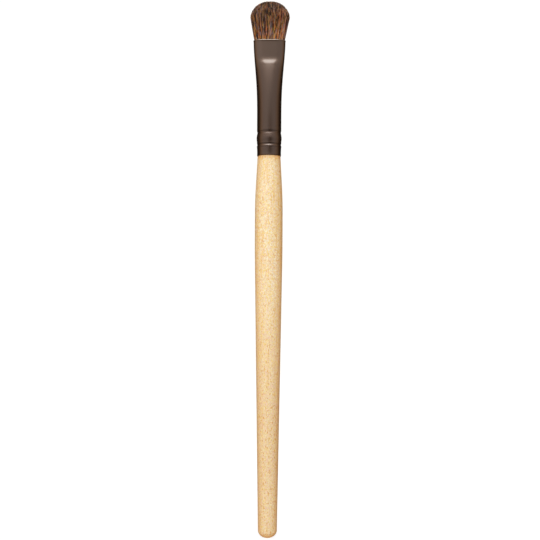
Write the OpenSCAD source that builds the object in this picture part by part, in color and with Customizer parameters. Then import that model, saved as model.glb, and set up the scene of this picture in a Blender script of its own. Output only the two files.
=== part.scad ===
// Eyeshadow brush, held upright by its grip with the hair up.
// Origin: the middle of the cylindrical grip, on the axis. +Z runs up the axis.
// The flat faces of the ferrule's mouth and of the hair look along -Y and +Y.
// Heights are stacked from the tail: handle, then ferrule, then the free length of the
// hair. The whole brush is drawn with the tail at height 0, then lowered to its origin.

/* [Handle] */
// Length of the wood that shows, from the tail to the ferrule's lower edge
handle_len = 119.4; // [100:0.1:180]
// Diameter of the wood where the rounded tail begins
tail_d = 5.8; // [4:0.01:8]
// Height of the rounded tail
tail_round = 2.5; // [1:0.1:4]
// Largest diameter, at the cylindrical grip
grip_d = 8.66; // [7.8:0.01:12]
// Length of the cylindrical grip
grip_len = 10.2; // [5:0.5:20]
// Length of the neck, from the grip's upper end to the ferrule
neck_len = 18.2; // [12:0.1:30]
// Radius that rounds the grip into the long taper below it
taper_round = 200; // [50:10:1500]
// Radius that rounds the grip into the neck above it
neck_round = 160; // [30:5:180]
// How far the tenon inside the ferrule stops short of the top of the round collar
tenon_short = 0.4; // [0.2:0.1:3]
// Chamfer at the end of the tenon
tenon_chamfer = 0.5; // [0.1:0.05:1]

/* [Ferrule] */
// Length of the ferrule
ferrule_len = 36.3; // [30:0.1:45]
// Outer diameter of its round collar
ferrule_d = 7.6; // [6.5:0.01:8.5]
// Thickness of its wall
ferrule_wall = 0.3; // [0.2:0.05:0.5]
// Length of the round collar, up to where the flattening begins
collar_len = 11.6; // [10:0.1:16]
// Width of the flattened mouth, outside
mouth_w = 10; // [8:0.1:13]
// Thickness of the flattened mouth, outside
mouth_t = 4; // [3:0.1:6]
// How square the mouth's ends are: 2 is an ellipse, higher is nearer a slot
mouth_square = 2.6; // [2:0.1:4]
// Length of the parallel land below the mouth's edge
land_len = 5.6; // [2:0.1:8]
// Height of the lower crimped groove above the ferrule's lower edge
groove_low = 3.7; // [2:0.1:5]
// Distance from the lower groove to the upper one
groove_step = 3.7; // [2.2:0.1:4]
// Depth of each groove
groove_depth = 0.17; // [0.05:0.01:0.3]
// Width of each groove
groove_w = 0.9; // [0.6:0.1:2]
// How far the bead between the grooves stands out
bead_rise = 0.07; // [0:0.01:0.2]
// How far the rolled edge of the mouth stands out
lip_rise = 0.05; // [0:0.01:0.15]

/* [Joint inside the ferrule] */
// Thickness of the adhesive between the tenon and the ferrule
glue_film = 0.1; // [0.05:0.01:0.2]
// Gap left between pieces that are bonded to each other
bond_gap = 0.01; // [0.01:0.01:0.05]
// How far the adhesive stops short of each end of the tenon
glue_short = 0.8; // [0.5:0.1:2]
// Height of the resin plug that locks the root ends of the hair
resin_len = 6.4; // [3:0.1:8]

/* [Hair] */
// Free length of the hair above the ferrule
hair_len = 12.3; // [9:0.1:20]
// Greatest width of the tuft
tuft_w = 12.4; // [10:0.1:16]
// Greatest thickness of the tuft
tuft_t = 5.6; // [4:0.1:8]
// Height of the domed crown of the tuft
crown = 4.4; // [2:0.1:7]
// Distance between neighbouring strands where they leave the root block
strand_pitch = 0.262; // [0.25:0.002:0.3]
// Diameter of the circle round a strand's three edges at its root
strand_d = 0.2; // [0.1:0.01:0.22]
// The same at the strand's belly
belly_d = 0.26; // [0.12:0.01:0.27]
// The same at its shoulder, the last ring before its point
shoulder_d = 0.28; // [0.05:0.01:0.3]
// Distance kept between the outermost strands and the ferrule's wall
edge_gap = 0.1; // [0.08:0.01:0.3]
// The most that a strand ends short of the crown
length_scatter = 0.35; // [0:0.05:1]
// Depth of the slice's upper face, where the strands leave, below the ferrule's edge
root_sink = 0.5; // [0.2:0.1:2]
// Thickness of the slice of packed hair that the strands stand in
slice_t = 0.6; // [0.4:0.1:1]

/* [Thread round the roots] */
// Diameter of the thread
thread_d = 0.26; // [0.15:0.01:0.35]
// Number of turns
thread_turns = 3; // [2:1:6]
// Rise of one turn
thread_pitch = 0.72; // [0.6:0.01:0.8]
// Height of the first turn above the resin plug
thread_start = 1.2; // [0.8:0.1:2]

/* [Hidden] */

$fn = 96;
tail_r = tail_d / 2;
grip_r = grip_d / 2;
collar_r = ferrule_d / 2;
bore_r = collar_r - ferrule_wall;

// Heights on the axis
grip_top = handle_len - neck_len;
grip_bottom = grip_top - grip_len;
collar_top = handle_len + collar_len;
mouth_z = handle_len + ferrule_len;
land_z = mouth_z - land_len;
tip_z = mouth_z + hair_len;
crown_z = tip_z - crown;
tenon_len = collar_len - tenon_short;
tenon_top = handle_len + tenon_len;
resin_z = tenon_top + bond_gap;
roots_z = resin_z + resin_len + bond_gap;
root_top = mouth_z - root_sink;
slice_z = root_top - slice_t;
thread_z = roots_z + thread_start;

// Points in each quarter of the tail's dome, each rounding arc and each groove
DOME_STEPS = 12;
ARC_STEPS = 6;
GROOVE_STEPS = 10;
// Corners of a flattened ring, and rings up the flattening and the land
SIDES = 48;
FLAT_RINGS = 12;
LAND_RINGS = 2;
// How late the mouth widens and thins on the way up: 1 is an even rate
WIDEN_LATE = 1.45;
THIN_LATE = 2;
// The faceted tube starts inside the wall of the round collar: this far from the wall's
// two faces, which is more than the tube's flats cut into its circle, and this far down
seam_in = 1.6 * bore_r * (1 - cos(180 / SIDES));
seam_lap = ferrule_wall;

function smooth(t) = let(u = min(max(t, 0), 1)) u * u * (3 - 2 * u);
function mix(a, b, t) = a + (b - a) * t;
function flat(lists) = [for (l = lists) for (x = l) x];

// Handle

// Angle at which a line from the point (r, z) touches a circle of radius big
// whose highest r is at (r_top, 0); z is measured from there
function touch_angle(r, z, r_top, big) =
    let(dr = r - r_top + big) atan2(z, dr) - acos(big / norm([dr, z]));

// A rounding radius cannot be longer than its drop and run have room for
function roomy(big, drop, run) = min(big, 0.95 * (drop * drop + run * run) / (2 * drop));

// Arc from the grip's edge towards the point (r, z_end); way is 1 upwards, -1 downwards
function grip_arc(r, z_end, z_edge, big, way) =
    let(
        run = way * (z_end - z_edge),
        rad = roomy(big, grip_r - r, run),
        last = touch_angle(r, run, grip_r, rad)
    )
    [for (i = [0 : ARC_STEPS]) let(a = last * i / ARC_STEPS)
        [grip_r - rad + rad * cos(a), z_edge + way * rad * sin(a)]];

function reversed(l) = [for (i = [len(l) - 1 : -1 : 0]) l[i]];

// Half-ellipse of the tail, from its lowest point to where the taper begins
tail_points = [for (i = [0 : DOME_STEPS]) let(a = 90 * i / DOME_STEPS)
    [tail_r * sin(a), tail_round * (1 - cos(a))]];

// Radius of the collar at height h above the ferrule's lower edge: two cosine grooves
// and a low bead midway between them
function groove_at(h, centre) =
    abs(h - centre) < groove_w / 2 ? (1 + cos(360 * (h - centre) / groove_w)) / 2 : 0;
function bead_at(h) =
    let(gap = groove_step - groove_w, mid = groove_low + groove_step / 2)
    abs(h - mid) < gap / 2 ? (1 + cos(360 * (h - mid) / gap)) / 2 : 0;
function collar_at(h) = collar_r - groove_depth * (groove_at(h, groove_low)
    + groove_at(h, groove_low + groove_step)) + bead_rise * bead_at(h);

// Heights at which the collar is sampled, between the heights low and high
groove_high = groove_low + groove_step;
function wave_heights(centre, width) =
    [for (i = [0 : GROOVE_STEPS]) centre + width * (i / GROOVE_STEPS - 0.5)];
collar_waves = concat(
    wave_heights(groove_low, groove_w),
    [for (i = [1 : GROOVE_STEPS - 1])
        groove_low + groove_w / 2 + (groove_step - groove_w) * i / GROOVE_STEPS],
    wave_heights(groove_high, groove_w));
function collar_heights(low, high) =
    concat([low], [for (h = collar_waves) if (h > low && h < high) h], [high]);

// The collar's outline from low to high, moved in by inset
function collar_line(low, high, inset) =
    [for (h = collar_heights(low, high)) [collar_at(h) - inset, handle_len + h]];

tenon_inset = ferrule_wall + glue_film + 2 * bond_gap;

module handle() {
    color([0.93, 0.78, 0.55])
        rotate_extrude()
            polygon(concat(
                tail_points,
                reversed(grip_arc(tail_r, tail_round, grip_bottom, taper_round, -1)),
                grip_arc(bore_r - bond_gap, handle_len, grip_top, neck_round, 1),
                [[bore_r - bond_gap, handle_len]],
                collar_line(0, tenon_len - tenon_chamfer, tenon_inset),
                [[bore_r - tenon_inset - tenon_chamfer, tenon_top], [0, tenon_top]]));
}

// Ferrule

// Half width, half thickness and squareness of the tube at height z, outside
function flattening(z) = (z - collar_top) / (land_z - collar_top);
function widening(z) = smooth(pow(max(z - collar_top, 0) / (mouth_z - collar_top), WIDEN_LATE));
function half_w(z) = mix(collar_r, mouth_w / 2, widening(z));
function half_t(z) = mix(collar_r, mouth_t / 2, pow(min(max(flattening(z), 0), 1), THIN_LATE));
function square_at(z) = mix(2, mouth_square, smooth(flattening(z)));

// One flattened ring: a superellipse, moved in by inset
function ring(z, inset) =
    let(w = half_w(z) - inset, t = half_t(z) - inset, e = 2 / square_at(z))
    [for (i = [0 : SIDES - 1]) let(c = cos(360 * i / SIDES), s = sin(360 * i / SIDES))
        [w * sign(c) * pow(abs(c), e), t * sign(s) * pow(abs(s), e), z]];

// Triangles between two rings of n points that start at numbers a and b; a is the lower
// one when the surface looks outwards
function band(a, b, n) = flat([for (i = [0 : n - 1]) let(j = (i + 1) % n)
    [[a + i, b + i, b + j], [a + i, b + j, a + j]]]);

// Closed solid through a list of rings from the lowest to the highest
module loft(rings) {
    n = len(rings[0]);
    top = (len(rings) - 1) * n;
    polyhedron(
        points = flat(rings),
        faces = concat(
            [for (i = [1 : n - 2]) [0, i, i + 1]],
            [for (i = [1 : n - 2]) [top, top + i + 1, top + i]],
            flat([for (k = [0 : len(rings) - 2]) band(k * n, (k + 1) * n, n)])));
}

// Tube with a closed outline: outer rings upwards, then inner rings downwards
module loop_loft(rings) {
    n = len(rings[0]);
    count = len(rings);
    polyhedron(
        points = flat(rings),
        faces = flat([for (k = [0 : count - 1]) band(k * n, ((k + 1) % count) * n, n)]));
}

// Heights of the rings up the flattening, then up the land
flat_heights = concat(
    [for (i = [0 : FLAT_RINGS]) mix(collar_top, land_z, i / FLAT_RINGS)],
    [for (i = [1 : LAND_RINGS]) mix(land_z, mouth_z - ferrule_wall, i / LAND_RINGS)]);

module ferrule() {
    lip = ferrule_wall / 2;
    tube_heights = concat([collar_top - seam_lap], flat_heights);
    color([0.4, 0.33, 0.29]) {
        rotate_extrude()
            polygon(concat(
                collar_line(0, collar_len, 0),
                reversed(collar_line(0, collar_len, ferrule_wall))));
        loop_loft(concat(
            [for (z = tube_heights) ring(z, z > collar_top ? 0 : seam_in)],
            [for (a = [0 : 45 : 180])
                [for (p = ring(mouth_z - lip, lip - (lip + (a < 90 ? lip_rise : 0)) * cos(a)))
                    [p.x, p.y, mouth_z - lip + lip * sin(a)]]],
            [for (z = reversed(tube_heights))
                ring(z, ferrule_wall - (z > collar_top ? 0 : seam_in))]));
    }
}

// Joint inside the ferrule

module tenon_glue() {
    inset = ferrule_wall + bond_gap;
    low = glue_short;
    high = tenon_len - glue_short;
    color([0.95, 0.9, 0.75])
        rotate_extrude()
            polygon(concat(
                collar_line(low, high, inset),
                reversed(collar_line(low, high, inset + glue_film))));
}

// The tube's own ring heights from low to high, with the two ends
function heights_from(low, high) =
    concat([low], [for (z = flat_heights) if (z > low && z < high) z], [high]);

module resin_plug() {
    color([0.75, 0.6, 0.25])
        loft([for (z = heights_from(resin_z, resin_z + resin_len)) ring(z, plain_inset)]);
}

// Thread round the roots

THREAD_SIDES = 6;
THREAD_RINGS = 24;
function thread_centre(turn) =
    let(z = thread_z + thread_pitch * turn, inset = ferrule_wall + bond_gap + thread_d / 2,
        a = 360 * turn, w = half_w(z) - inset, t = half_t(z) - inset, e = 2 / square_at(z))
    [w * sign(cos(a)) * pow(abs(cos(a)), e), t * sign(sin(a)) * pow(abs(sin(a)), e), z];

module root_binding() {
    steps = thread_turns * THREAD_RINGS;
    centres = [for (k = [0 : steps]) thread_centre(k / THREAD_RINGS)];
    color([0.85, 0.82, 0.75])
        loft([for (k = [0 : steps])
            let(out = [cos(360 * k / THREAD_RINGS), sin(360 * k / THREAD_RINGS), 0])
            [for (i = [0 : THREAD_SIDES - 1]) let(a = 360 * i / THREAD_SIDES)
                centres[k] + thread_d / 2 * (cos(a) * out + [0, 0, -sin(a)])]]);
    gaps = [for (k = [0 : steps - THREAD_RINGS])
        norm(centres[k + THREAD_RINGS] - centres[k]) - thread_d];
    echo(str("Least gap between turns of the root binding: ", min(gaps), " mm"));
}

// Hair

// Packed roots, glued solid, with a waist where the thread pinches them, up to the slice
plain_inset = ferrule_wall + bond_gap;
waist_inset = ferrule_wall + 3 * bond_gap + thread_d;
waist_low = thread_z - thread_d;
waist_high = thread_z + thread_turns * thread_pitch + thread_d;

module root_block() {
    loft(concat(
        [for (z = heights_from(roots_z, waist_low - thread_d)) ring(z, plain_inset)],
        [for (z = heights_from(waist_low, waist_high)) ring(z, waist_inset)],
        [for (z = heights_from(waist_high + thread_d, slice_z)) ring(z, plain_inset)]));
    translate([0, 0, slice_z])
        linear_extrude(slice_t)
            polygon([for (p = ring(slice_z, plain_inset)) [p.x, p.y]]);
}

// Half sizes of the field of roots on the slice's upper face
field_w = half_w(root_top) - ferrule_wall - strand_d / 2 - edge_gap;
field_t = half_t(root_top) - ferrule_wall - strand_d / 2 - edge_gap;

// Roots on a triangular grid that just fills the field; EDGE lets in those on its rim
COLUMNS = round(field_w / strand_pitch);
ROWS = round(field_t / (strand_pitch * sqrt(3) / 2));
EDGE = 1.0001;
function reach(x, y) =
    pow(pow(abs(x) / field_w, mouth_square) + pow(abs(y) / field_t, mouth_square), 1 / mouth_square);
roots = [for (r = [-ROWS : ROWS]) for (c = [-COLUMNS : COLUMNS])
    let(x = (c + abs(r % 2) / 2) * field_w / COLUMNS, y = r * field_t / ROWS)
    if (reach(x, y) < EDGE) [x, y]];

// How far the fan has opened at height z, across its width and across its thickness
function spread(z) = min(max((z - root_top) / (crown_z - root_top), 0), 1);
function fan_w(z) = mix(1, tuft_w / 2 / field_w, spread(z));
function fan_t(z) = mix(1, tuft_t / 2 / field_t, spread(z));

scatter = rands(0, 1, len(roots), 7);
turns = rands(0, 120, len(roots), 11);

// A strand follows the fan, has its rings at these shares of its height, and ends in a
// point on the crown; the ones in the middle reach the full height
SHARES = [0, 0.35, 0.8];
widths = [strand_d, belly_d, shoulder_d];
MIDDLE = 0.1;
function strand_top(k) =
    let(far = min(reach(roots[k].x, roots[k].y), 1))
    crown_z + crown * sqrt(1 - far * far) - (far > MIDDLE ? length_scatter * scatter[k] : 0);
function strand_points(k) =
    let(p = roots[k], low = root_top - strand_d, top = strand_top(k))
    concat(
        [for (s = [0 : len(SHARES) - 1]) for (i = [0 : 2])
            let(z = mix(low, top, SHARES[s]), a = turns[k] + 120 * i)
            [p.x * fan_w(z) + widths[s] / 2 * cos(a), p.y * fan_t(z) + widths[s] / 2 * sin(a), z]],
        [[p.x * fan_w(top), p.y * fan_t(top), top]]);

POINTS = 3 * len(SHARES) + 1;
function strand_faces(k) =
    let(a = k * POINTS, last = a + POINTS - 4, top = a + POINTS - 1)
    concat(
        [[a, a + 1, a + 2]],
        flat([for (s = [0 : len(SHARES) - 2]) band(a + 3 * s, a + 3 * s + 3, 3)]),
        [for (i = [0 : 2]) [last + i, top, last + (i + 1) % 3]]);

module strands() {
    polyhedron(
        points = flat([for (k = [0 : len(roots) - 1]) strand_points(k)]),
        faces = flat([for (k = [0 : len(roots) - 1]) strand_faces(k)]));
    echo(str("Strands of hair: ", len(roots)));
}

module tuft() {
    color([0.36, 0.25, 0.18]) {
        root_block();
        strands();
    }
}

// Lowers a piece so that the middle of the grip comes to the origin
module held() {
    translate([0, 0, -(grip_bottom + grip_top) / 2]) children();
}

held() handle();
held() ferrule();
held() tenon_glue();
held() resin_plug();
held() root_binding();
held() tuft();
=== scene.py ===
# %% [markdown]
# # An eyeshadow brush in a white studio
# The brush has three things to look at: a turned and lacquered handle, a brown metal
# ferrule that is round below and flat above, and a small fanned tuft of mixed hair. The
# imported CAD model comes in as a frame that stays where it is, and the pieces that show
# are built round it, finer than the CAD solids need to be.

# %% The frame
import math

import bpy
import numpy as np
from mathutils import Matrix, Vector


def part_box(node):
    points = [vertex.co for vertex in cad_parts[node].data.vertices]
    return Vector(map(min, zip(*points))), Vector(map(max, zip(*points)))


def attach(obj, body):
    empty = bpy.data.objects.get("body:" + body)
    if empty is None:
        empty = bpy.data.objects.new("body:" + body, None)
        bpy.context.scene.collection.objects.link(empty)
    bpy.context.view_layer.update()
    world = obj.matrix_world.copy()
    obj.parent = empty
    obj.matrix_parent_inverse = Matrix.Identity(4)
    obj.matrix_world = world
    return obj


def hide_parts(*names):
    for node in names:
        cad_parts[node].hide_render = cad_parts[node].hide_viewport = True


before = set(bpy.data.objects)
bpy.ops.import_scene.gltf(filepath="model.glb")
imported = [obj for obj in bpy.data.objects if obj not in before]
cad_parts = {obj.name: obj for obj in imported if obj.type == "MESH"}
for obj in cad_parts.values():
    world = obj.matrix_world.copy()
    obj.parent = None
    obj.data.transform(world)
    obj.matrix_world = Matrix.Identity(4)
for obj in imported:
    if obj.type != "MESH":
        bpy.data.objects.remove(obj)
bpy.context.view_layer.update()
print("CAD nodes:", sorted(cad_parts))

# %% [markdown]
# ## Heights
# A brush maker measures along the stick, from the tail up, in millimetres. The frame's
# origin is the middle of the grip, so a height becomes a place in the frame by adding the
# height of the tail, which is read from the frame itself.

# %% Heights and two small helpers
MM = 0.001
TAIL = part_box("handle")[0].z
WOOD_TOP = (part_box("handle")[1].z - TAIL) / MM
FERRULE_LOW, FERRULE_HIGH = ((corner.z - TAIL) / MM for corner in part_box("ferrule"))
TIP = (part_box("tuft")[1].z - TAIL) / MM


def smooth(t):
    """0 below 0, 1 above 1, and 3t^2 - 2t^3 between them."""
    u = np.clip(t, 0, 1)
    return u * u * (3 - 2 * u)


def between(a, b, t):
    """The value that lies at share t of the way from a to b."""
    return a + (b - a) * t


print(f"wood {WOOD_TOP:.2f}, ferrule {FERRULE_LOW:.2f} to {FERRULE_HIGH:.2f}, tip {TIP:.2f} mm")

# %% [markdown]
# ## Meshes from arrays
# Blender can spin or loft a curve, but a surface worked out as a grid of points is exact
# everywhere and easy to refine. Each ring of the grid is one turn round the brush, and
# the rings follow each other along it. The faces only join neighbours, so one function
# does for all the pieces.

# %% A mesh from points and faces


def new_piece(name, points, quads, tris=None):
    """A smooth-shaded object from points in millimetres above the tail, with four-sided
    faces and perhaps triangles. Points become metres and rise by the tail's height."""
    tris = np.empty((0, 3), int) if tris is None else tris
    mesh = bpy.data.meshes.new(name)
    mesh.vertices.add(len(points))
    mesh.vertices.foreach_set("co", (points * MM + [0, 0, TAIL]).astype(np.float32).ravel())
    corners = np.concatenate([quads.ravel(), tris.ravel()])
    sizes = np.repeat([4, 3], [len(quads), len(tris)])
    mesh.loops.add(len(corners))
    mesh.loops.foreach_set("vertex_index", corners)
    mesh.polygons.add(len(sizes))
    mesh.polygons.foreach_set("loop_start", np.cumsum(sizes) - sizes)
    mesh.update(calc_edges=True)
    mesh.shade_smooth()
    piece = bpy.data.objects.new(name, mesh)
    bpy.context.collection.objects.link(piece)
    print(f"{name}: {len(quads) * 2 + len(tris)} triangles")
    return piece


def ring_faces(rings, sides, closed=False):
    """Quads between neighbouring rings: corner (i, j) is point i * sides + j, and the
    last column joins the first. A closed grid joins its last ring to its first."""
    i, j = np.meshgrid(np.arange(rings - (not closed)), np.arange(sides), indexing="ij")
    right, above = (j + 1) % sides, (i + 1) % rings
    corners = [i * sides + j, i * sides + right, above * sides + right, above * sides + j]
    return np.stack(corners, -1).reshape(-1, 4)


def capped(name, grid, low, high):
    """A piece whose rings grid[i, j] follow each other upwards, closed by fans of triangles
    from its first ring to the pole low and from its last ring to the pole high."""
    rings, sides = grid.shape[:2]
    j = np.arange(sides)
    after, top, pole = (j + 1) % sides, (rings - 1) * sides, rings * sides
    under = np.stack([after, j, 0 * j + pole], 1)
    over = np.stack([top + j, top + after, 0 * j + pole + 1], 1)
    points = np.concatenate([grid.reshape(-1, 3), [low, high]])
    return new_piece(name, points, ring_faces(rings, sides), np.concatenate([under, over]))


# %% [markdown]
# ## Shader sums as expressions
# A material is a graph of nodes. To keep a recipe readable, a Wire stands for one output
# socket, and ordinary signs on it add the Math nodes. Everything else comes from one
# method that takes the node's type, its settings and its inputs.

# %% A recipe for a material


class Wire:
    """An output socket that + - * and abs work on; each one adds a Math node."""

    def __init__(self, recipe, socket):
        self.recipe, self.socket = recipe, socket

    def maths(self, operation, *values):
        """One Math node on numbers or Wires."""
        return self.recipe.node("ShaderNodeMath", {"operation": operation}, dict(enumerate(values)))

    def __add__(self, other):
        return self.maths("ADD", self, other)

    def __sub__(self, other):
        return self.maths("SUBTRACT", self, other)

    def __rsub__(self, other):
        return self.maths("SUBTRACT", other, self)

    def __mul__(self, other):
        return self.maths("MULTIPLY", self, other)

    def __abs__(self):
        return self.maths("ABSOLUTE", self)

    __radd__, __rmul__ = __add__, __mul__


class Recipe:
    """The nodes of one material or world."""

    def __init__(self, owner):
        owner.use_nodes = True
        self.owner, self.tree = owner, owner.node_tree
        self.tree.nodes.clear()

    def node(self, kind, settings=(), inputs=(), out=0):
        """Adds a node, sets its settings, then gives its sockets numbers, colours or Wires.
        A ramp's two stops are pairs of a place and a colour."""
        made = self.tree.nodes.new(kind)
        for key, value in dict(settings).items():
            if key == "stops":
                for stop, (place, colour) in zip(made.color_ramp.elements, value):
                    stop.position, stop.color = place, (*colour, 1)
            else:
                setattr(made, key, value)
        for key, value in dict(inputs).items():
            if isinstance(value, Wire):
                self.tree.links.new(value.socket, made.inputs[key])
            elif isinstance(value, tuple) and len(value) == 3 and made.inputs[key].type == "RGBA":
                made.inputs[key].default_value = (*value, 1)
            else:
                made.inputs[key].default_value = value
        return Wire(self, made.outputs[out]) if made.outputs else None

    def mix(self, share, first, second):
        """A colour that lies at a share of the way from the first to the second."""
        return self.node("ShaderNodeMix", {"data_type": "RGBA"}, {0: share, 6: first, 7: second}, 2)

    def ramp(self, value, *stops):
        """A straight grey ramp between two pairs of a place and a brightness."""
        greys = [(place, (grey,) * 3) for place, grey in stops]
        return self.node("ShaderNodeValToRGB", {"stops": greys}, {0: value})

    def noise(self, place, scale, detail=2.0, rough=0.5):
        """Noise from 0 to 1 whose spots are about 1 / scale metres across."""
        wants = {"Vector": place, "Scale": scale, "Detail": detail, "Roughness": rough}
        return self.node("ShaderNodeTexNoise", {}, wants)

    def step(self, value, low, high):
        """0 at low, 1 at high, and a smooth rise between them; low may be above high."""
        settings = {"interpolation_type": "SMOOTHSTEP"}
        wants = {"Value": value, "From Min": low, "From Max": high}
        return self.node("ShaderNodeMapRange", settings, wants)

    def along(self, stretch, turn=0.0):
        """Object coordinates with the length of the brush squeezed, so patterns run along."""
        place = self.node("ShaderNodeTexCoord", {}, {}, "Object")
        wants = {"Vector": place, "Rotation": (0, 0, turn), "Scale": (1, 1, 1 / stretch)}
        return self.node("ShaderNodeMapping", {}, wants)

    def by_height(self, low, high):
        """0 at the height low, 1 at high, both in millimetres above the tail."""
        height = self.node("ShaderNodeSeparateXYZ", {}, {0: self.along(1)}, "Z")
        return self.step(height, TAIL + low * MM, TAIL + high * MM)

    def bump(self, relief, strength, depth):
        """A relief from 0 to 1, turned into bent normals; its depth is in millimetres."""
        wants = {"Height": relief, "Strength": strength, "Distance": depth * MM}
        return self.node("ShaderNodeBump", {}, wants)

    def surface(self, **sockets):
        """Ends the recipe in a Principled shader; socket names have _ for a space."""
        wants = {key.replace("_", " "): value for key, value in sockets.items()}
        shader = self.node("ShaderNodeBsdfPrincipled", {}, wants)
        self.node("ShaderNodeOutputMaterial", {}, {"Surface": shader})
        return self.owner


def new_recipe(name):
    """An empty recipe for a new material."""
    print("material:", name)
    return Recipe(bpy.data.materials.new(name))


def dress(piece, material):
    """Gives a piece one material, in place of any it came with."""
    piece.data.materials.clear()
    piece.data.materials.append(material)


# %% [markdown]
# ## Lacquered maple
# The handle is pale close-grained wood with a lively surface: soft bands where growth
# layers meet it, a few long streaks, and all over it small flecks, where rays and pores
# are cut across. They are yellow, rosy, orange and brown, a third of a millimetre wide and
# little longer. Towards the tail the wood is a shade darker, with pale flecks in it, and
# the last millimetres below the ferrule carry painted shade, where the rim shades them.
# Clear lacquer lies on top as a coat.

# %% The wood's recipe
CREAM, HONEY, YELLOW = (0.69, 0.735, 0.64), (0.63, 0.463, 0.203), (0.685, 0.60, 0.237)
ROSE, AMBER, UMBER = (0.675, 0.567, 0.491), (0.55, 0.317, 0.095), (0.28, 0.17, 0.075)
BARK = (0.08, 0.04, 0.01)
# heights between which the wood darkens downwards, and the painted shade under the ferrule's rim
# sets in upwards
DARKER = (90.0, 30.0)
RIM_SHADE = (117.5, 119.4)


def lacquered_maple():
    """Each line of tone lays one kind of band or fleck over those before it."""
    wood = new_recipe("lacquered_maple")
    layers = wood.noise(wood.along(9), 330, 3.0, 0.6)
    streaks = wood.noise(wood.along(16, 0.4), 1500)
    pores = wood.noise(wood.along(1.6), 2900, 1.0, 0.6)
    rays = wood.noise(wood.along(1.8, 0.6), 3000, 1.0)
    flecks = wood.noise(wood.along(2.0, 1.3), 2700, 1.0)
    grains = wood.noise(wood.along(1.2, 2.1), 3300, 1.0)
    band = wood.ramp(layers, (0.36, 0.0), (0.68, 1.0))
    streak = wood.ramp(streaks, (0.57, 0.0), (0.66, 1.0))
    pore = wood.ramp(pores, (0.47, 0.0), (0.54, 1.0))
    ray = wood.ramp(rays, (0.53, 0.0), (0.58, 1.0))
    pale = wood.ramp(rays, (0.41, 1.0), (0.46, 0.0))
    fleck = wood.ramp(flecks, (0.60, 0.0), (0.67, 1.0))
    grain = wood.ramp(grains, (0.46, 0.0), (0.54, 1.0))
    low = wood.by_height(*DARKER)
    tone = wood.mix(band * 0.20 + low * 0.46, CREAM, HONEY)
    tone = wood.mix(pore * 0.9, tone, YELLOW)
    tone = wood.mix(ray * (0.72 + low * 0.2), tone, ROSE)
    tone = wood.mix(pale * low * 0.5, tone, CREAM)
    tone = wood.mix(streak * 0.45, tone, HONEY)
    tone = wood.mix(fleck * (0.60 + low * 0.35), tone, AMBER)
    tone = wood.mix(grain * 0.19, tone, UMBER)
    # painted shade: the wood darker and more orange just under the ferrule's rim
    tone = wood.mix(wood.by_height(*RIM_SHADE) * 0.5, tone, AMBER)
    tone = wood.mix(low * 0.08, tone, BARK)
    return wood.surface(
        Base_Color=tone, Roughness=0.36 + pore * 0.12, Normal=wood.bump(pores, 0.12, 0.05),
        Coat_Weight=0.25, Coat_Roughness=0.3, Specular_IOR_Level=0.3)


maple = lacquered_maple()

# %% [markdown]
# ## The handle
# A lathe turned it, so its shape is one profile carried round the axis: a rounded tail,
# a long straight taper that swells gently into a short parallel grip, and a neck that
# narrows to the ferrule. Above the neck the wood goes on as the tenon, hidden inside.

# %% The handle's profile
TAIL_R, TAIL_ROUND, GRIP_R, NECK_R = 2.97, 2.3, 4.33, 3.56
GRIP_LOW, GRIP_HIGH, TAPER_ROUND, NECK_ROUND = 91.0, 101.2, 200.0, 160.0
TENON_R, BEVEL = 3.08, 0.3
# how far the neck's full width, its eased edge and its shoulder reach into the ferrule
NECK_IN, EDGE_IN, SHOULDER_IN, EASED = 0.1, 0.15, 0.4, 0.03


def grip_arc(r_end, z_end, z_edge, radius, steps=28):
    """Points on the arc that leaves the grip's edge and just touches the straight line to
    (r_end, z_end). Its circle has that radius and its centre that far inside the grip."""
    run = abs(z_end - z_edge)
    drop = r_end - GRIP_R + radius
    last = math.atan2(run, drop) - math.acos(radius / math.hypot(run, drop))
    a = np.linspace(0, last, steps)
    way = np.sign(z_end - z_edge)
    return np.stack([GRIP_R - radius + radius * np.cos(a), z_edge + way * radius * np.sin(a)], 1)


def straight(start, end, steps):
    """Points on the line between two points, without its ends."""
    t = np.linspace(0, 1, steps + 2)[1:-1, None]
    return between(np.array(start), np.array(end), t)


quarter = np.linspace(0, math.pi / 2, 25)[1:]
dome = np.stack([TAIL_R * np.sin(quarter), TAIL_ROUND * (1 - np.cos(quarter))], 1)
taper = grip_arc(TAIL_R, TAIL_ROUND, GRIP_LOW, TAPER_ROUND)[::-1]
neck = grip_arc(NECK_R, FERRULE_LOW, GRIP_HIGH, NECK_ROUND)
tenon = [
    [NECK_R, FERRULE_LOW], [NECK_R, FERRULE_LOW + NECK_IN],
    [NECK_R - EASED, FERRULE_LOW + EDGE_IN], [TENON_R, FERRULE_LOW + SHOULDER_IN],
    [TENON_R, WOOD_TOP - BEVEL], [TENON_R - BEVEL, WOOD_TOP]]
# the neck's last step is taken in short ones, and one long straight step follows
handle_line = np.concatenate([
    dome, straight(dome[-1], taper[0], 30), taper, neck[:-1],
    straight(neck[-2], neck[-1], 12), tenon])
print(f"handle profile: {len(handle_line)} points, widest {2 * handle_line[:, 0].max():.2f} mm")

# %% Turning the handle


def turned(name, line, sides=128):
    """A profile of (radius, height) carried once round the axis: point (i, j) is
    (r cos a, r sin a, z) at angle a = 2 pi j / sides."""
    a = np.linspace(0, 2 * np.pi, sides, endpoint=False)
    r, z = line[:, :1], line[:, 1:]
    grid = np.stack([r * np.cos(a), r * np.sin(a), z + 0 * a], -1)
    return capped(name, grid, [0, 0, 0], [0, 0, line[-1, 1]])


handle = turned("turned_handle", handle_line)
dress(handle, maple)
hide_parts("handle")
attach(handle, "root")

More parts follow.
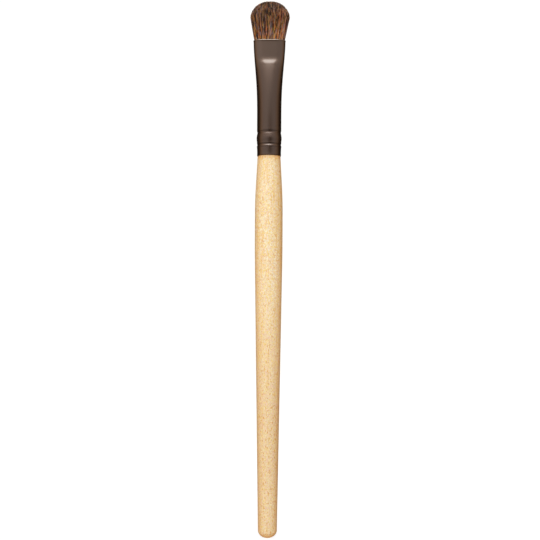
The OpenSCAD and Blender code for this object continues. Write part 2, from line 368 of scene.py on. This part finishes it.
# %% [markdown]
# ## The ferrule
# It starts as a seamless round tube. The lower end is crimped on the tenon with two
# rolled grooves, and the upper end is pressed flat between dies, so its section goes from
# a circle to a slot. A tube pressed flat keeps round ends, so one family of curves holds
# both: two half ellipses as thick as the tube, pulled apart by a flat of half length f.
# With half the width w and half the thickness t, f is about half of w - t where the dies
# pressed the tube, less below that and nothing where it is round. The mouth's edge is
# rolled to a small bead.

# %% The ferrule's section at each height
COLLAR_R, WALL = 3.8, 0.3
COLLAR_TOP, LAND, LAND_SOFT = 131.0, 149.65, 0.8
MOUTH_W, MOUTH_T, WIDENING = 5.0, 2.0, 1.45
# the flat's share of w - t below the pressed land and on it, and how soon it changes
FLAT_LOW, FLAT_HIGH, FLAT_LONG = 0.18, 0.55, 2.5
# the shoulder's height, the way it rises over, and where below the land it fades out
SHOULDER_RISE, SHOULDER_LONG, FADE_FROM, FADE_LONG = 0.19, 1.8, 1.96, 14.0
LIP_RISE, LIP_LONG = 0.07, 0.62
# middle, width and rise of each rolled groove and bead, from the bottom up
CRIMPS = (
    (120.4, 4.6, -0.07), (122.30, 0.6, 0.05), (122.90, 0.90, -0.105), (124.9, 2.8, 0.12),
    (126.68, 1.5, -0.125))


def hump(z, middle, width):
    """A cosine hump of height 1: (1 + cos(2 pi (z - middle) / width)) / 2 inside width."""
    u = (z - middle) / width
    return np.where(np.abs(u) < 0.5, (1 + np.cos(2 * np.pi * u)) / 2, 0)


def soft_start(x, h):
    """0 below -h, x above h, and the parabola (x + h)^2 / 4h between, with no corner."""
    return np.where(x > h, x, np.clip(x + h, 0, 2 * h) ** 2 / (4 * h))


def section(z):
    """Half width w, half thickness t and half flat f of the outside at heights z. Above
    the collar w widens smoothly to the mouth. t falls with the square of the way to the
    land, plus the shoulder that the die's rounded edge leaves under the land. f is a share
    of w - t. Grooves, beads and the lip add the same rise to w and t."""
    crimp = sum(rise * hump(z, middle, width) for middle, width, rise in CRIMPS)
    crimp = crimp + LIP_RISE * hump(z, FERRULE_HIGH - LIP_LONG / 2, LIP_LONG)
    below = soft_start(LAND - z, LAND_SOFT)
    pressed = np.clip(1 - below / (LAND - COLLAR_TOP), 0, 1)
    up = np.clip(z - COLLAR_TOP, 0, None) / (FERRULE_HIGH - COLLAR_TOP)
    fade = 1 - smooth((below - FADE_FROM) / FADE_LONG)
    shoulder = SHOULDER_RISE * smooth(below / SHOULDER_LONG) * fade
    w = between(COLLAR_R, MOUTH_W, smooth(up**WIDENING))
    t = between(COLLAR_R, MOUTH_T, pressed**2) + shoulder
    share = between(FLAT_HIGH, FLAT_LOW, smooth(below / FLAT_LONG))
    return w + crimp, t + crimp, share * np.clip(w - t, 0, None)


# the rings lie closer where the section changes fast, and the rolled edges take the
# last EDGE millimetres at both ends
EDGE = 0.16
heights = np.concatenate([
    np.linspace(FERRULE_LOW + EDGE, CRIMPS[1][0] - 0.4, 14),
    np.linspace(CRIMPS[1][0] - 0.35, CRIMPS[-1][0] + 0.8, 130),
    np.linspace(CRIMPS[-1][0] + 0.9, LAND - 3, 60),
    np.linspace(LAND - 2.9, LAND + 0.6, 40),
    np.linspace(LAND + 0.8, FERRULE_HIGH - LIP_LONG, 10),
    np.linspace(FERRULE_HIGH - LIP_LONG + 0.04, FERRULE_HIGH - EDGE, 12)])
print(f"ferrule: {len(heights)} heights, thinnest {2 * section(heights)[1].min():.2f} mm")

# %% The ferrule's surface
FLAT_TURN = math.sin(math.radians(12))


def slot_rings(z, inset, sides=240):
    """Rings x = (w - f - inset) cos a + f q, y = (t - inset) sin a, where q goes from 1
    to -1 across the flats: q = clip(cos a / FLAT_TURN), so each flat is a few steps long.
    a starts half a step past 0."""
    w, t, f = (v[:, None] for v in section(z))
    a = np.linspace(0, 2 * np.pi, sides, endpoint=False) + np.pi / sides
    c, s = np.cos(a), np.sin(a)
    q = np.clip(c / FLAT_TURN, -1, 1)
    x = (w - f - inset[:, None]) * c + f * q
    y = (t - inset[:, None]) * s
    return np.stack([x, y, np.broadcast_to(z[:, None], x.shape)], -1)


def rolled_edge(z, top, steps=9):
    """Heights and insets of a half-round edge at height z, from the outside to the inside
    of the wall; top is 1 for the upper edge and -1 for the lower one."""
    a = np.linspace(0, np.pi, steps)
    half = WALL / 2
    return z + top * half * np.sin(a), half - half * np.cos(a)


lip_z, lip_inset = rolled_edge(FERRULE_HIGH - WALL / 2, 1)
rim_z, rim_inset = rolled_edge(FERRULE_LOW + WALL / 2, -1)
# the inside of the wall follows with every fourth ring, back down
inside = heights[::-4]
tube_z = np.concatenate([heights, lip_z, inside, rim_z[::-1]])
tube_inset = np.concatenate([0 * heights, lip_inset, 0 * inside + WALL, rim_inset[::-1]])
rings = slot_rings(tube_z, tube_inset)
tube_faces = ring_faces(*rings.shape[:2], closed=True)
ferrule = new_piece("pressed_ferrule", rings.reshape(-1, 3), tube_faces)

# %% [markdown]
# ## Brown satin metal
# The tube is thin aluminium with a brown satin coat. Most of what shows is the coat: the
# metal under it gives a dark brown mirror, blurred by fine brushing along the tube, and
# the clear top gives the pale glints on the shoulder and in the grooves. Handling has
# rubbed the rolled edge a little lighter.

# %% The ferrule's recipe
# the coat's brown, and a lighter brown for wear on the rolled edge and for the painted sheen on the
# land
BROWN, WEAR_AND_SHEEN = (0.070, 0.0375, 0.0235), (0.26, 0.18, 0.135)
RUBBED_LONG, LAND_SHEEN_LONG = 0.5, 4.0


def satin_brown():
    """A cloudy, brushed coat with a painted sheen that makes the land a little lighter, and rubbed
    lighter by wear on the rolled edge.
    """
    metal = new_recipe("satin_brown")
    cloud = metal.noise(metal.along(3), 420, 2.0)
    brushed = metal.noise(metal.along(30), 7000, 2.0)
    rubbed = metal.by_height(FERRULE_HIGH - RUBBED_LONG, FERRULE_HIGH)
    pressed = metal.by_height(LAND - LAND_SHEEN_LONG, LAND)
    # painted sheen: the pressed land a little lighter, for the light it mirrors
    tone = metal.mix(pressed * 0.12, BROWN, WEAR_AND_SHEEN)
    tone = metal.mix(rubbed * (0.25 + cloud * 0.4), tone, WEAR_AND_SHEEN)
    rough = 0.33 + cloud * 0.08 + brushed * 0.05
    return metal.surface(
        Base_Color=tone, Metallic=0.9, Roughness=rough, Normal=metal.bump(brushed, 0.05, 0.02),
        Coat_Weight=0.8, Coat_Roughness=0.22)


dress(ferrule, satin_brown())
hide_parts("ferrule")
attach(ferrule, "root")

# %% [markdown]
# ## The hidden parts
# Glue, resin and thread are CAD nodes whose shapes are right. They only need finishes:
# milky glue, clear amber resin with small bubbles, and twisted cotton.

# %% Finishes inside the ferrule


def cured(name, colour, other, coat):
    """A cast material: two close colours in soft clouds, and a bubbly bump."""
    cast = new_recipe(name)
    cloud = cast.noise(cast.along(1), 900, 3.0)
    bubble = cast.node("ShaderNodeTexVoronoi", {}, {"Vector": cast.along(1), "Scale": 2500})
    return cast.surface(
        Base_Color=cast.mix(cloud, colour, other), Roughness=0.3 + cloud * 0.2,
        Normal=cast.bump(bubble, 0.2, 0.04), Coat_Weight=coat)


def cotton():
    """Slanting waves across the thread, as twisted yarn has."""
    thread = new_recipe("cotton_thread")
    twist = thread.node(
        "ShaderNodeTexWave", {"bands_direction": "DIAGONAL"},
        {"Vector": thread.along(1), "Scale": 2600, "Distortion": 1.5})
    tone = thread.mix(twist, (0.55, 0.50, 0.40), (0.78, 0.74, 0.64))
    return thread.surface(
        Base_Color=tone, Roughness=0.85 + twist * 0.1, Normal=thread.bump(twist, 0.6, 0.03))


glue = cured("milky_glue", (0.86, 0.78, 0.55), (0.93, 0.88, 0.70), coat=0.1)
resin = cured("amber_resin", (0.46, 0.26, 0.06), (0.60, 0.38, 0.11), coat=0.6)
dress(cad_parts["tenon_glue"], glue)
dress(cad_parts["resin_plug"], resin)
dress(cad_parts["root_binding"], cotton())

# %% [markdown]
# ## The hair
# A maker sets a bundle of natural hair in a cup shaped like the finished crown, so every
# hair ends on a dome, ties the roots and pushes them up through the tube until the tuft
# stands free. It fans as it leaves the flat mouth. Each hair is drawn here: from a root
# inside the mouth, up the fan, to its own place on the dome. A real tuft holds several
# thousand, and so does this one, but each is a little thicker and has only a few faces.
# Blender's particle hair would be quicker to set up, but it isn't a mesh.

# %% Where hairs start and end
ROOT, CROWN_RISE, TIP_ROOM = 154.3, 5.02, 0.08
CROWN = TIP - TIP_ROOM - CROWN_RISE
FIELD_W, FIELD_T = 4.48, 1.58
FAN_W, FAN_T = 6.09, 2.76
TUFT_N, LEAN = 2.5, 0.13
DOME_N, DOME_POWER = 2.4, 0.6
rng = np.random.default_rng(24)


def squarish(a):
    """The outline of the tuft's section at angles a, 1 wide and 1 thick each way: x is
    |cos a|^(2/n) and y is |sin a|^(2/n), with the signs of cos a and sin a."""
    c, s, bend = np.cos(a), np.sin(a), 2 / TUFT_N
    return np.sign(c) * np.abs(c) ** bend, np.sign(s) * np.abs(s) ** bend


def roots_in_mouth(count, inner, outer):
    """Random places in a ring of the mouth: reach between inner and outer, even over its
    area, on the outline of the section made smaller by reach."""
    reach = np.sqrt(rng.uniform(inner**2, outer**2, count))
    x, y = squarish(rng.uniform(0, 2 * np.pi, count))
    return np.stack([reach * FIELD_W * x, reach * FIELD_T * y], 1), reach


def fanned(xy, z):
    """A root's place (x, y) carried up the fan to height z: both grow in proportion to
    the height above the mouth, up to the dome's foot, and stay there above it. The whole
    tuft leans LEAN millimetres to the right on the way."""
    spread = np.clip((z - ROOT) / (CROWN - ROOT), 0, 1)[..., None]
    grow = between(np.ones(2), np.array([FAN_W / FIELD_W, FAN_T / FIELD_T]), spread)
    return xy * grow + [LEAN, 0] * spread


def dome_top(reach):
    """Height of the dome over a hair: CROWN + CROWN_RISE (1 - reach^DOME_N)^DOME_POWER,
    which is a little fuller than an ellipse at the top and leaner at the shoulders."""
    return CROWN + CROWN_RISE * (1 - np.clip(reach, 0, 1) ** DOME_N) ** DOME_POWER


print(f"crown's foot {CROWN:.1f} mm, tip {TIP:.1f} mm")

# %% [markdown]
# Hairs cling together in small locks whose members lean towards each other near the
# tip, and each hair waves a little. A few are cut short and a few stray. Colours come
# from the blend: dark, red-brown, orange and golden hair with a few grey ones. Hair in a
# lock is nearly alike. All of it is palest near the root, darker up to the crown and
# darkest at its tips.

# %% Hair paths
LOCKS, CLING, WAVE, WAVE_TURN = 1500, 0.6, 0.07, 4
# the shares of a hair's height at which its points lie, and how thick it is at all but
# the tip, against its own radius
STEPS = np.array([0, 0.16, 0.31, 0.46, 0.61, 0.75, 0.87, 0.955, 0.988, 1.0])
THICK = np.array([0.85, 0.95, 1.0, 1.1, 1.1, 1.1, 1.05, 0.95, 0.72])
lock_xy = roots_in_mouth(LOCKS, 0.0, 1.0)[0]
lock_tone = rng.uniform(0, 1, LOCKS)
lock_turns = rng.normal(0, 1, (LOCKS, len(STEPS)))
print(f"{LOCKS} locks")


def nearest_lock(xy):
    """The lock whose middle lies nearest to each root."""
    apart = ((xy[:, None] - lock_xy[None]) ** 2).sum(-1)
    return apart.argmin(1)


def hair_paths(xy, reach, short, stray):
    """Points of each hair at the shares STEPS of its height: the fan's place, drawn
    towards its lock's middle by a share that grows to CLING, plus a wave of WAVE_TURN
    radians that grows to the tip, plus a bend that grows with the square of the share."""
    count = len(xy)
    lock = nearest_lock(xy)
    top = dome_top(reach) - short * rng.exponential(1.0, count).clip(0, 4)
    z = between(ROOT, top[:, None], STEPS)
    place = fanned(xy[:, None], z)
    middle = fanned(lock_xy[lock][:, None], z)
    place += (middle - place) * (CLING * STEPS**1.2)[:, None]
    # two phases a hair are drawn and one is used, so the later draws stay as they are
    phase = rng.uniform(0, 2 * np.pi, (2, count, 1, 2))[0]
    size = rng.normal(0, 1, (count, 1, 2))
    place += WAVE * size * STEPS[:, None] * np.sin(phase + WAVE_TURN * STEPS[:, None])
    place += stray * rng.standard_t(3, (count, 1, 2)).clip(-4, 4) * (STEPS**2)[:, None]
    return np.concatenate([place, z[..., None]], -1), lock


def hair_mesh(name, paths, radius):
    """Three-sided tapering hairs: at each path point three corners at 120 degrees, radius
    times THICK from the path, and one point at the tip. Three triangles close the tip and
    one closes the root."""
    count, steps = paths.shape[:2]
    turn = rng.uniform(0, 2 * np.pi, count)[:, None, None] + 2 * np.pi / 3 * np.arange(3)
    out = np.stack([np.cos(turn), np.sin(turn), 0 * turn], -1)
    sides = paths[:, :-1, None] + out * (radius[:, None] * THICK)[..., None, None]
    each = 3 * (steps - 1) + 1
    points = np.concatenate([sides.reshape(count, -1, 3), paths[:, -1:]], 1)
    first = (np.arange(count) * each)[:, None, None]
    quads = (ring_faces(steps - 1, 3)[None] + first).reshape(-1, 4)
    last, tip = each - 4, each - 1
    ends = np.array([
        [last, last + 1, tip], [last + 1, last + 2, tip], [last + 2, last, tip], [2, 1, 0]])
    return new_piece(name, points.reshape(-1, 3), quads, (ends[None] + first).reshape(-1, 3))


# %% [markdown]
# A colour attribute carries each hair's colour in the mesh, one value per corner point,
# so one material serves all hairs, however many colours they have. A second attribute
# carries each hair's root, so that strokes in the material can follow the fan.

# %% Hair colours
# the blend from dark to golden hair, and the share of it up to each colour
BLEND = np.array([
    [0.014, 0.007, 0.005], [0.050, 0.019, 0.009], [0.135, 0.050, 0.019],
    [0.290, 0.104, 0.034], [0.450, 0.190, 0.062], [0.640, 0.345, 0.138]])
SHARES = [0.0, 0.22, 0.42, 0.62, 0.84, 1.0]
# how bright a hair is at each step, and how far its blend is spread from the middle
ALONG = np.interp(
    STEPS, [0, 0.2, 0.4, 0.6, 0.8, 0.93, 0.965, 1.0],
    [0.98, 0.95, 0.88, 0.94, 0.80, 0.86, 0.84, 0.35])
CONTRAST = np.interp(STEPS, [0.3, 0.7], [2.2, 3.4])
OWN_SHARE, LOCK_DRIFT, OWN_DRIFT = 0.25, 0.13, 0.1
BRIGHTNESS, GREY_SHARE = 0.27, 0.07
print(f"{len(BLEND)} colours in the blend")


def hair_colours(lock):
    """A colour for each hair at each of its STEPS: a place in the blend that lies between
    its lock's and its own, moved up and down along the hair as the lock turns. Each hair
    is brighter or darker by a factor of its own, and a few are grey."""
    count = len(lock)
    tone = between(lock_tone[lock], rng.uniform(0, 1, count), OWN_SHARE)[:, None]
    tone = 0.5 + (tone - 0.5) * CONTRAST + LOCK_DRIFT * lock_turns[lock]
    tone = np.clip(tone + rng.normal(0, OWN_DRIFT, (count, len(STEPS))), 0, 1)
    colour = np.stack([np.interp(tone, SHARES, BLEND[:, k]) for k in range(3)], -1)
    colour *= np.exp(rng.normal(0, BRIGHTNESS, (count, 1, 3)))
    grey = rng.uniform(0, 1, (count, 1, 1)) < GREY_SHARE
    return np.where(grey, colour.mean(-1, keepdims=True) * 1.5 + 0.012, colour)


# where the outline's shade starts and is full, in shares of the mouth's half size
SIDE_FROM, SIDE_FULL, BACK_FROM, BACK_FULL = 0.84, 0.96, 0.45, 0.85
# how far below the crown's outline, in millimetres, tips count as the ridge
RIDGE_FULL, RIDGE_END = 0.6, 1.0


def shadow_side(xy):
    """How far each hair lies at the tuft's dark outline: 0 inside, and a smooth rise to 1
    at both narrow sides and all along the back."""
    side = smooth((np.abs(xy[:, 0]) / FIELD_W - SIDE_FROM) / (SIDE_FULL - SIDE_FROM))
    back = smooth((xy[:, 1] / FIELD_T - BACK_FROM) / (BACK_FULL - BACK_FROM))
    return np.maximum(side, back)


def at_ridge(xy, reach):
    """1 for hairs whose tips lie within RIDGE_FULL of the dome's outline in front view,
    where y is 0, and 0 from RIDGE_END below it."""
    drop = dome_top(np.abs(xy[:, 0]) / FIELD_W) - dome_top(reach)
    return smooth((RIDGE_END - drop) / (RIDGE_END - RIDGE_FULL))


def to_corners(values):
    """One value per hair and step, given to the three corners there and the one tip."""
    return np.concatenate([np.repeat(values[:, :-1], 3, 1), values[:, -1:]], 1)


# painted shade on the outline's hairs and the ridge's tips: how dark, and from which share of the
# height
EDGE_DARK, EDGE_START, EDGE_RUN = 0.8, 0.35, 0.4
RIDGE_DARK, RIDGE_START = 0.93, 0.94


def paint(piece, colours, edge, ridge):
    """Writes the colours to the hairs' points, times ALONG at each step, with painted shade:
    up to EDGE_DARK darker in the upper half of hairs at the outline, and RIDGE_DARK darker
    at the tips along the ridge."""
    sides = EDGE_DARK * edge[:, None] * smooth((STEPS - EDGE_START) / EDGE_RUN)
    tips = RIDGE_DARK * ridge[:, None] * (STEPS > RIDGE_START)
    light = ALONG * (1 - np.maximum(sides, tips))
    shade = to_corners(np.clip(colours * light[..., None], 0, 1))
    rgba = np.concatenate([shade, np.ones_like(shade[..., :1])], -1)
    layer = piece.data.color_attributes.new("hair_colour", "FLOAT_COLOR", "POINT")
    layer.data.foreach_set("color", rgba.astype(np.float32).ravel())


def note_roots(piece, paths, xy):
    """Writes each point's hair root x and y and its own height, in metres, so a pattern
    can follow the hairs up the fan."""
    root = np.broadcast_to(xy[:, None], paths[..., :2].shape)
    place = np.concatenate([root, paths[..., 2:]], -1)
    layer = piece.data.attributes.new("hair_root", "FLOAT_VECTOR", "POINT")
    layer.data.foreach_set("vector", (to_corners(place) * MM).astype(np.float32).ravel())


# %% The hair's recipe
GOLD, RUST, SILVER = (0.58, 0.30, 0.055), (0.35, 0.064, 0.018), (0.23, 0.205, 0.28)
SPARK, DARK, DEEP = (0.62, 0.31, 0.15), (0.008, 0.004, 0.003), (0.004, 0.002, 0.002)
# heights between which the crown's painted highlights and fuller dark strokes set in, and the tuft
# darkens upwards
CROWN_LOOKS = (158.0, 164.0)
UPPER_DARK = (155.5, 162.0)


def hair_recipe():
    """Each hair's own colour, with strokes of single bright and dark hairs laid over it
    and small sparks on the crown, where tips catch the light."""
    hair = new_recipe("natural_hair")
    tint = hair.node("ShaderNodeAttribute", {"attribute_name": "hair_colour"}, {}, "Color")
    root = hair.node("ShaderNodeAttribute", {"attribute_name": "hair_root"}, {}, "Vector")

    def strokes(scale, stretch, shift, low, high):
        """A mask of thin strokes up the fan, stretch times as long as wide: noise on each
        hair's root and height, coarser in depth, 0 below low and 1 above high."""
        wants = {"Vector": root, "Location": (shift, 0, 0), "Scale": (1, 0.4, 1 / stretch)}
        lines = hair.noise(hair.node("ShaderNodeMapping", {}, wants), scale, 1.0)
        return hair.ramp(lines, (low, 0.0), (high, 1.0))

    dark = strokes(4800, 13, 0.0, 0.52, 0.57)
    gold = strokes(4800, 13, 0.1, 0.54, 0.60)
    rust = strokes(4600, 12, 0.2, 0.53, 0.59)
    silver = strokes(5200, 11, 0.3, 0.56, 0.61)
    spark = strokes(4400, 1.4, 0.4, 0.50, 0.55)
    crown = hair.by_height(*CROWN_LOOKS)
    tone = hair.mix(gold * 0.50, tint, GOLD)
    tone = hair.mix(rust * 0.50, tone, RUST)
    tone = hair.mix(silver * 0.68, tone, SILVER)
    # painted highlights: small sparks where tips catch the light
    tone = hair.mix(spark * crown * 0.50, tone, SPARK)
    tone = hair.mix(dark * (crown * 0.08 + 0.82), tone, DARK)
    tone = hair.mix(hair.by_height(*UPPER_DARK) * 0.46, tone, DEEP)
    return hair.surface(Base_Color=tone, Roughness=0.45 + dark * 0.15, Specular_IOR_Level=0.2)


natural_hair = hair_recipe()

# %% Growing the tuft
# count, inner and outer reach, then in millimetres: mean shortfall, stray and radius
GROUPS = {
    "outer_hair": (3500, 0.86, 1.0, 0.03, 0.012, 0.066),
    "crown_hair": (3500, 0.0, 0.9, 0.05, 0.012, 0.064),
}
for name, (count, inner, outer, short, stray, radius) in GROUPS.items():
    xy, reach = roots_in_mouth(count, inner, outer)
    paths, lock = hair_paths(xy, reach, short, stray)
    thickness = radius * rng.uniform(0.75, 1.25, count)
    piece = hair_mesh(name, paths, thickness)
    paint(piece, hair_colours(lock), shadow_side(xy), at_ridge(xy, reach))
    note_roots(piece, paths, xy)
    dress(piece, natural_hair)
    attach(piece, "root")
    print(f"{name}: {count} hairs, highest {paths[..., 2].max():.2f} mm")

# %% [markdown]
# Between the hairs a real tuft is packed with more hair, so no light comes through. A
# solid core of the same form, a little smaller, stands for those; its dark colour is
# painted shade. It also fills the ferrule's mouth, where the roots are glued into a block.

# %% The core of packed hair
# the root block's foot and the height up to which it follows the ferrule's inside, then
# how far the core stays inside the ferrule's outside, the fan and the dome
BLOCK_LOW, BLOCK_HIGH = 137.1, 149.0
IN_TUBE, IN_FAN, UNDER_DOME = 0.7, 0.3, 0.5


def hair_core(sides=96, fan_rings=12, dome_rings=20):
    """Rings from the root block up through the fan and over the dome: half width and half
    thickness less IN_TUBE or IN_FAN, times the section's squarish outline. The dome's
    rings are at reach = cos b, b from 0 to 90 degrees."""
    b = np.linspace(0, np.pi / 2, dome_rings + 2)[1:-1]
    over = CROWN + (dome_top(np.cos(b)) - CROWN) * (1 - UNDER_DOME / CROWN_RISE)
    z = np.concatenate([[BLOCK_LOW, BLOCK_HIGH], np.linspace(ROOT, CROWN, fan_rings), over])
    reach = np.concatenate([np.ones(2 + fan_rings), np.cos(b)])[:, None]
    w, t, _ = section(z)
    free = z >= ROOT
    spread = np.clip((z - ROOT) / (CROWN - ROOT), 0, 1)
    w = np.where(free, between(FIELD_W, FAN_W, spread) - IN_FAN, w - IN_TUBE)[:, None]
    t = np.where(free, between(FIELD_T, FAN_T, spread) - IN_FAN, t - IN_TUBE)[:, None]
    x, y = squarish(np.linspace(0, 2 * np.pi, sides, endpoint=False))
    x = reach * w * x + (LEAN * spread)[:, None]
    y = reach * t * y
    grid = np.stack([x, y, np.broadcast_to(z[:, None], x.shape)], -1)
    return capped("packed_hair", grid, [0, 0, z[0]], [LEAN, 0, CROWN + CROWN_RISE - UNDER_DOME])


def packed_recipe():
    """Dark brown lines along the brush: painted shade, dark enough to read as shaded hair between
    hairs.
    """
    packed = new_recipe("packed_hair")
    lines = packed.noise(packed.along(14), 5200)
    tone = packed.mix(lines, (0.012, 0.007, 0.005), (0.07, 0.035, 0.02))
    return packed.surface(
        Base_Color=tone, Roughness=0.6 + lines * 0.2, Normal=packed.bump(lines, 0.7, 0.1))


core = hair_core()
dress(core, packed_recipe())
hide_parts("tuft")
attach(core, "root")

# %% [markdown]
# ## The studio
# A catalogue picture like this is taken inside white cloth, lit from outside, with the
# side behind the object left dark: the front of the metal mirrors white and its edges
# mirror black, which draws the outline. The world does this by direction. The camera
# itself sees plain white behind the brush.

# %% The white tent
WINDOW = 8.2
STAND_RIGHT, STAND_TOP = 0.14, 0.25


def tent():
    """The world's brightness and colour by direction; each step's two numbers are the
    places on that axis, from -1 to 1, between which a part of the tent fades in. The light
    on dull surfaces (shaded) differs from what mirrors show, as the table, the far cloth
    and the side folds light only them, and the camera sees an even white."""
    world = bpy.data.worlds.new("white_tent")
    bpy.context.scene.world = world
    sky = Recipe(world)
    way = sky.node("ShaderNodeTexCoord", {}, {}, "Generated")
    right, back, up = (sky.node("ShaderNodeSeparateXYZ", {}, {0: way}, axis) for axis in "XYZ")
    front = back * -1
    shaded = sky.node("ShaderNodeLightPath", {}, {}, "Is Diffuse Ray")
    seen = sky.node("ShaderNodeLightPath", {}, {}, "Is Camera Ray")
    # white cloth in front that ends at the dark sides and is weaker on the right
    cloth = sky.step(front, shaded * 0.05 - 0.30, shaded * 0.16 + 0.22)
    cloth = cloth * (1.0 - right * 0.05) * (1.0 - sky.step(right, 0.08, 0.5) * 0.10)
    # the dim patch of the camera and its stand, and the dim floor below
    beside = abs(right - STAND_RIGHT)
    stand = sky.step(beside, 0.52, 0.05) * sky.step(up, STAND_TOP, 0.16) * 0.85
    below = sky.step(up * -1, 0.05, 0.45) * (0.8 - shaded * 0.8)
    # a bright window high in front, which reaches further to the left
    window = sky.step(up, 0.50, 0.80) * sky.step(up, 0.98, 0.88) * sky.step(front, 0.1, 0.4)
    window = window * sky.step(right, -0.88, -0.10) * sky.step(right, 0.50, 0.0)
    # what lights from above, from the table, from behind and from the cloth's side folds
    roof = sky.step(up, 0.55, 0.95) * 0.6
    table = sky.step(up, -0.35, -0.85) * shaded * 1.3
    far = sky.step(front, -0.45, -0.85) * shaded * 0.45
    wings = sky.step(abs(right), 0.30, 0.90) * shaded * 0.8
    strength = cloth * (1 - stand) * (1 - below) + window * WINDOW + roof + table + far
    strength = strength + wings * 0.15 + 0.01
    strength = strength * (1 - seen) + seen * 1.05
    # the folds are orange, the window is cool and the light from behind nearly neutral
    warm = sky.step(front, shaded * 0.18 + 0.62, shaded * 0.28 + 0.05)
    warm = (1.0 - (1.0 - warm) * (1.0 - wings)) * (1 - seen)
    folds = sky.mix(shaded, (1.0, 0.71, 0.44), (1.0, 0.42, 0.0))
    colour = sky.mix(warm, (1.0, 0.985, 0.97), folds)
    colour = sky.mix(window * (1 - seen), colour, (0.86, 1.0, 1.06))
    colour = sky.mix(sky.step(front, -0.35, -0.75) * shaded, colour, (1.0, 0.97, 0.94))
    light = sky.node("ShaderNodeBackground", {}, {"Color": colour, "Strength": strength})
    sky.node("ShaderNodeOutputWorld", {}, {"Surface": light})
    print("world:", world.name)


tent()

# %% A lamp


def soft_lamp(name, place, target, wide, high, power, colour):
    """A rectangular lamp at a place in the frame, turned to face a target."""
    data = bpy.data.lights.new(name, "AREA")
    data.shape, data.size, data.size_y = "RECTANGLE", wide, high
    data.energy, data.color = power, colour
    lamp = bpy.data.objects.new(name, data)
    bpy.context.collection.objects.link(lamp)
    lamp.location = place
    aim = np.array(target) - np.array(place)
    aim = aim / np.linalg.norm(aim)
    lamp.rotation_euler = (math.acos(-aim[2]), 0, math.atan2(-aim[0], aim[1]))
    print("lamp:", name)


# a faint warm light from high behind, a little to the right
soft_lamp(
    "high_back", (0.10, 0.40, 0.62), (0, 0, 0), wide=0.50, high=0.30, power=0.9,
    colour=(1, 0.82, 0.62))

# %% [markdown]
# ## Floor and camera
# The floor is a pale disc at the tail's level, lit through from below as a light table
# is, so that it fades into the white behind. The camera stands level with the middle of
# the brush, and a long lens from 27 cm gives the mouth and the ferrule's lower rim their
# slight arcs.

# %% The floor
RADII = (60, 140, 260, 420)


def floor_disc(sides=96):
    """A flat disc of rings at RADII millimetres round a middle point; its faces look up."""
    a = np.linspace(0, 2 * np.pi, sides, endpoint=False)
    radii = np.array(RADII)[:, None]
    grid = np.stack([radii * np.cos(a), radii * np.sin(a), 0 * radii + 0 * a], -1)
    points = np.concatenate([grid.reshape(-1, 3), [[0, 0, 0]]])
    j = np.arange(sides)
    quads = ring_faces(len(RADII), sides)[:, ::-1]
    tris = np.stack([j, (j + 1) % sides, 0 * j + len(points) - 1], 1)
    return new_piece("floor", points, quads, tris)


def floor_recipe():
    """Nearly white glass that glows evenly, a trace bluer in the middle."""
    table = new_recipe("light_table")
    place = table.node("ShaderNodeTexCoord", {}, {}, "Object")
    flat = table.node("ShaderNodeVectorMath", {"operation": "MULTIPLY"}, {0: place, 1: (1, 1, 0)})
    out = table.node("ShaderNodeVectorMath", {"operation": "LENGTH"}, {0: flat}, "Value")
    glow = table.step(out, 0.03, 0.30)
    grain = table.noise(place, 60)
    shade = table.mix(glow, (0.88, 0.89, 0.91), (0.89, 0.895, 0.91))
    return table.surface(
        Base_Color=table.mix(grain, (0.15, 0.15, 0.15), (0.17, 0.17, 0.165)), Roughness=0.32,
        Emission_Color=shade, Emission_Strength=1.0)


floor = floor_disc()
dress(floor, floor_recipe())
# the brush mirrors and takes the light of the tent's own floor instead
floor.visible_glossy = floor.visible_diffuse = False

# %% The camera
# metres in front of the axis, to the right of it, and across the picture at the axis
DISTANCE, ASIDE, PICTURE = 0.270, 0.00046, 0.1692
# millimetres above the tail, and the roll that makes the brush lean in the picture
EYE, ROLL = 83.8, math.radians(0.26)
camera = bpy.data.objects.new("camera", bpy.data.cameras.new("camera"))
bpy.context.collection.objects.link(camera)
camera.location = (ASIDE, -DISTANCE, TAIL + EYE * MM)
camera.rotation_euler = (math.pi / 2, -ROLL, 0)
camera.data.lens = camera.data.sensor_width * DISTANCE / PICTURE
camera.data.dof.use_dof = False
bpy.context.scene.camera = camera
bpy.context.scene.view_settings.view_transform = "Standard"
print(f"lens {camera.data.lens:.1f} mm")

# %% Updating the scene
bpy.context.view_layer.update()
